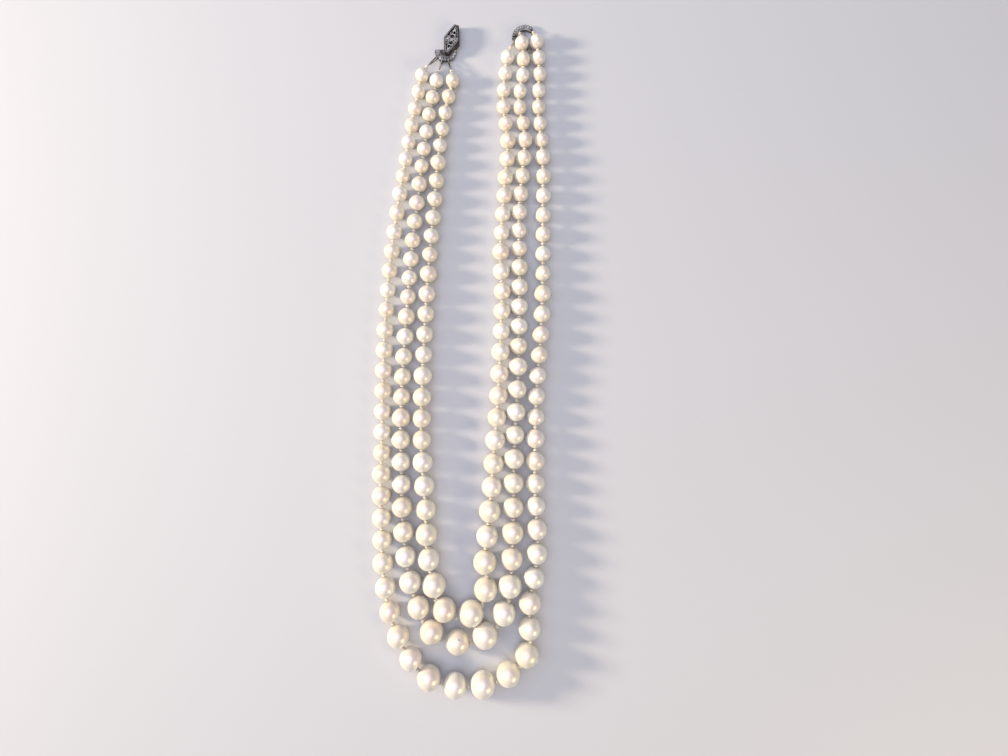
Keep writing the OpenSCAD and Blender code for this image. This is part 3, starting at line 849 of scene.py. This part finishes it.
def scrollLine(first, second, spec, level):
    spots = [Vector(ring[:2]) for ring in (first, second)]
    share = first[2] / (first[2] + second[2])
    meeting = spots[0].lerp(spots[1], share)
    line = curl(spots[0], meeting, spec)[::-1] + curl(spots[1], meeting, spec)[1:]
    return [((*spot, level), spec["scrollWire"]) for spot in line]


def movedLines(lines, move):
    return [[(move @ Vector(point), radius) for point, radius in line] for line in lines]


# Oxidised silver: near black in the hollows, bare and bright where hands have worn it and a little
# brighter where it faces up; on the crescent the darkness is partly painted shade
silverSpec = {"hollow": (0.026, 0.02, 0.018), "tarnish": (0.09, 0.065, 0.048),
              "bare": (0.66, 0.62, 0.56)}


def makeSilver(spec):
    material, maker, shader = newMaterial("oxidisedSilver")
    # the marks hold the wear and, on the crescent, painted shade
    wear = maker.add("ShaderNodeAttribute", {"attribute_name": "wear"}, output="Fac")
    place = maker.add("ShaderNodeTexCoord", output="Object")
    facing = maker.add("ShaderNodeNewGeometry", output="Normal")
    upness = maker.add("ShaderNodeSeparateXYZ", {}, {0: facing}).output("Z")
    patches = maker.add("ShaderNodeTexNoise", {}, {"Vector": place, "Scale": 420.0, "Detail": 5.0})
    scratches = maker.add("ShaderNodeTexNoise", {}, {"Vector": place, "Scale": 4200.0, "Detail": 4.0})
    # faces that look up are made a little barer and brighter, faces that look down a little darker
    laid = wear + (patches - 0.5) * 0.9 + (upness - 0.5) * 0.25
    bare = maker.ease(laid, 0.3, 0.85)
    tint = maker.blend(maker.ease(patches, 0.35, 0.7), (*spec["hollow"], 1), (*spec["tarnish"], 1))
    colour = maker.blend(bare, tint, (*spec["bare"], 1))
    height = patches * 0.4 + scratches * 0.35
    bump = maker.add("ShaderNodeBump", {}, {"Strength": 0.5, "Distance": 0.03 * mm, "Height": height})
    roughness = 0.5 - bare * 0.2 + (scratches - 0.5) * 0.2
    finish(maker, shader, {"Base Color": colour, "Roughness": roughness,
                           "Metallic": 0.55 + bare * 0.45, "Normal": bump})
    return material


silver = makeSilver(silverSpec)


# The clasp box stands on its mount. Angles here and below are in degrees
claspAt = Vector(next(mount["pos_m"] for mount in frame["record"]["mounts"]))
claspSpec = {"length": 11 * mm, "width": 5.8 * mm, "tip": 1.6 * mm, "height": 3 * mm, "lean": 19,
             "wall": 0.45 * mm, "floor": 0.4 * mm, "shoulder": 2.6 * mm, "topSheet": 0.4 * mm,
             "rimStep": 0.25 * mm, "rimWidth": 0.45 * mm, "edge": 0.05 * mm,
             "mouth": (1.55 * mm, 1.8 * mm, 0.8 * mm), "mouthLow": 0.55 * mm,
             "scrollWire": 0.17 * mm, "scrollSides": 8, "curlTurn": 470, "curlFrom": 0.45,
             "curlIn": 0.68, "curlEase": 1.3, "curlSteps": 36,
             "beadRadius": 0.33 * mm, "beadSink": 0.1 * mm,
             "ropeWire": 0.075 * mm, "ropeSides": 6, "ropeStep": 0.06 * mm, "ropePitch": 0.55 * mm}
# Rings that the scrolls of the pierced top wind round: across, along and radius in
# millimetres. Two that follow each other make one S-scroll
curls = [(-0.1, 0.98, 0.98), (0.1, -0.98, 0.98), (0.05, 2.75, 0.82), (-0.03, 3.95, 0.42),
         (-0.05, -2.75, 0.82), (0.03, -3.95, 0.42), (1.4, 0.55, 0.5), (1.5, -0.4, 0.46),
         (-1.4, -0.55, 0.5), (-1.5, 0.4, 0.46)]
# Granules between the scrolls and at the two tips: across and along in millimetres
beads = [(-1.02, 1.98), (1.04, 1.78), (1.02, -1.98), (-1.04, -1.78), (0.0, 4.6), (0.0, -4.6)]


def lozenge(spec, margin, height):
    lean = math.atan2(spec["width"] / 2 - spec["tip"] / 2, spec["length"] / 2)
    far = spec["length"] / 2 - margin
    wide = spec["width"] / 2 - margin / math.cos(lean)
    tip = wide - far * math.tan(lean)
    corners = ((tip, far), (-tip, far), (-wide, 0), (-tip, -far), (tip, -far), (wide, 0))
    return [(x, y, height) for x, y in corners]


# The box: its outline from the bottom up over the rim and down inside, with a mouth for
# the hook cut through its far tip
def makeBox(spec, move):
    window = spec["rimStep"] + spec["rimWidth"]
    under = spec["shoulder"] - spec["topSheet"]
    levels = [(0, 0), (0, spec["shoulder"]), (spec["rimStep"], spec["shoulder"] + spec["edge"]),
              (spec["rimStep"], spec["height"]), (window, spec["height"]), (window, under),
              (spec["wall"], under), (spec["wall"], spec["floor"])]
    shell = skin("shell", [lozenge(spec, margin, height) for margin, height in levels])
    wide, deep, tall = spec["mouth"]
    mouth = Matrix.Translation((0, spec["length"] / 2, spec["mouthLow"] + tall / 2))
    block = bmesh.new()
    bmesh.ops.create_cube(block, size=1, matrix=mouth @ Matrix.Diagonal((wide, deep, tall, 1)))
    cutter = kept("cutter", block)
    shaped(shell, "BOOLEAN", object=cutter, operation="DIFFERENCE", solver="EXACT")
    bpy.data.objects.remove(cutter)
    shaped(shell, "BEVEL", width=spec["edge"], segments=2, limit_method="ANGLE", angle_limit=0.5)
    shell.data.transform(move)
    return tidied(shell, 40)


def claspLines(spec):
    level = spec["shoulder"] - spec["topSheet"] / 2
    rings = [[size * mm for size in ring] for ring in curls]
    return [scrollLine(rings[k], rings[k + 1], spec, level) for k in range(0, len(rings), 2)]


# Two wires twisted round each other along the rim
def ropeLines(spec):
    path = [Vector(p) for p in lozenge(spec, spec["rimStep"] + spec["rimWidth"] / 2, spec["height"])]
    spots = evenSteps(path, spec["ropeStep"])
    count = len(spots)
    turns = round(count * spec["ropeStep"] / spec["ropePitch"])
    lines = []
    for half in (0, math.pi):
        line = []
        for k, spot in enumerate(spots):
            onward = (spots[(k + 1) % count] - spots[k - 1]).normalized()
            angle = math.tau * turns * k / count + half
            offset = onward.cross(upward) * math.cos(angle) + upward * math.sin(angle)
            line.append((spot + offset * spec["ropeWire"], spec["ropeWire"]))
        lines.append(line)
    return lines


def beadPieces(spec, move):
    level = spec["shoulder"] - spec["beadSink"]
    return [ballPiece("bead", spec["beadRadius"], move @ Matrix.Translation((x * mm, y * mm, level)))
            for x, y in beads]


# What the two toothed plates share: the plate itself, its holes, lobes and leaves
platesSpec = {"low": 0.66 * mm, "thickness": 0.55 * mm, "half": 0.8 * mm, "edge": 0.07 * mm,
              "hole": 0.45 * mm, "holeSteps": 20, "eyelet": 0.1 * mm, "eyeletSides": 8,
              "lobe": 0.35 * mm,
              "leaf": (0.56 * mm, 0.3 * mm, 0.15 * mm), "leafIn": 0.2 * mm, "leafTaper": 0.35,
              "veinDepth": 0.45, "veinWidth": 0.16}


# A toothed plate from its edge, with an eyelet round each hole and a leaf on each lobe
def plateParts(name, centre, edge, first, last, spec, plates):
    holes = [centre + polar(spec["radius"], angle) for angle in spec["holes"]]
    steps = plates["holeSteps"]
    rims = [[hole + polar(plates["hole"], 360 * k / steps) for k in range(steps)] for hole in holes]
    plate = platePiece(name, [[centre + spot for spot in edge], *rims], plates["low"],
                       plates["thickness"], plates["edge"])
    rings = [ringLine(hole, plates["hole"] + plates["eyelet"], plates["low"] + plates["thickness"],
                      plates["eyelet"]) for hole in holes]
    leafRadius = spec["radius"] + plates["half"] - plates["leafIn"]
    eyelets = makeWire("eyelets", rings, silver, plates["eyeletSides"], closed=True)
    parts = [marked(plate, name), marked(eyelets, name + "Eyelets")]
    for leaf in leaves(centre, leafRadius, first, last, spec["lobes"], plates):
        parts.append(marked(leaf, name + "Leaf"))
    return parts


# The fan-shaped plate soldered to the lower tip of the box
fanSpec = {"radius": 2.7 * mm, "holes": (212, 247, 282), "top": 0.5 * mm, "lobes": 11,
           "fromTip": (-0.4 * mm, 1.8 * mm)}


def makeClasp(spec, fan, plates):
    turned = Matrix.Rotation(math.radians(-spec["lean"]), 4, "Z")
    move = Matrix.Translation((claspAt.x, claspAt.y, 0)) @ turned
    tip = Vector((claspAt.x, claspAt.y)) - (turned @ Vector((0, spec["length"] / 2, 0))).to_2d()
    centre = tip + Vector(fan["fromTip"])
    outer = fan["radius"] + plates["half"]
    corner = math.degrees(math.asin(fan["top"] / outer))
    first, last = 180 - corner, 360 + corner
    edge = lobedArc(outer, plates["lobe"], first, last, fan["lobes"])
    scrolls = makeWire("scrolls", movedLines(claspLines(spec), move), silver, spec["scrollSides"])
    rope = makeWire("rope", movedLines(ropeLines(spec), move), silver, spec["ropeSides"], closed=True)
    parts = [marked(makeBox(spec, move), "box"), marked(scrolls, "scrolls"), marked(rope, "rope")]
    parts += [marked(bead, "bead") for bead in beadPieces(spec, move)]
    parts += plateParts("fan", centre, edge, first, last, fan, plates)
    placed(joinedParts("claspBox", parts), "clasp_box")


makeClasp(claspSpec, fanSpec, platesSpec)


# The plate of the other end, and the hook under it: one wire folded double on a short post
barSpec = {"at": (21.887 * mm, 111.496 * mm), "radius": 3.4 * mm, "holes": (52, 130, 192),
           "lobes": 10, "hookAngle": 88, "hookLean": 12, "hookLength": 9 * mm, "hookBack": 0.3 * mm,
           "hookWire": 0.25 * mm, "hookSides": 12, "hookGap": 0.3 * mm, "bendSteps": 8,
           "barb": 3 * mm, "offFloor": 0.002 * mm,
           "post": (0.3 * mm, 0.9 * mm), "postRadius": 0.6 * mm}


def hookLines(spec, centre):
    foot = centre + polar(spec["radius"], spec["hookAngle"])
    turned = Matrix.Rotation(math.radians(spec["hookLean"]), 2)
    wire = spec["hookWire"]
    across = wire + spec["hookGap"] / 2
    low = wire + spec["offFloor"]
    straight = spec["hookLength"] - across - wire
    bend = [math.pi * k / spec["bendSteps"] for k in range(1, spec["bendSteps"])]
    plan = [(-across, spec["hookBack"]), (-across, -straight)]
    plan += [(-across * math.cos(turn), -straight - across * math.sin(turn)) for turn in bend]
    plan += [(across, -straight), (across, spec["barb"] - straight)]
    flat = [foot + turned @ Vector(spot) for spot in plan]
    post = [((*foot, level), spec["postRadius"]) for level in spec["post"]]
    return [[((*spot, low), wire) for spot in flat], post]


def makeHookPlate(spec, plates):
    centre = Vector(spec["at"])
    first, last = spec["holes"][0], spec["holes"][-1]
    radius, half = spec["radius"], plates["half"]
    edge = lobedArc(radius + half, plates["lobe"], first, last, spec["lobes"])
    edge += roundEnd(radius, half, last, last)
    edge += plainArc(radius - half, last, first)
    edge += roundEnd(radius, half, first, first - 180)
    hook = makeWire("hook", hookLines(spec, centre), silver, spec["hookSides"])
    parts = plateParts("crescent", centre, edge, first, last, spec, plates)
    parts.append(marked(hook, "hook"))
    placed(joinedParts("hookPlate", parts), "hook_bar")


makeHookPlate(barSpec, platesSpec)
print("clasp made")
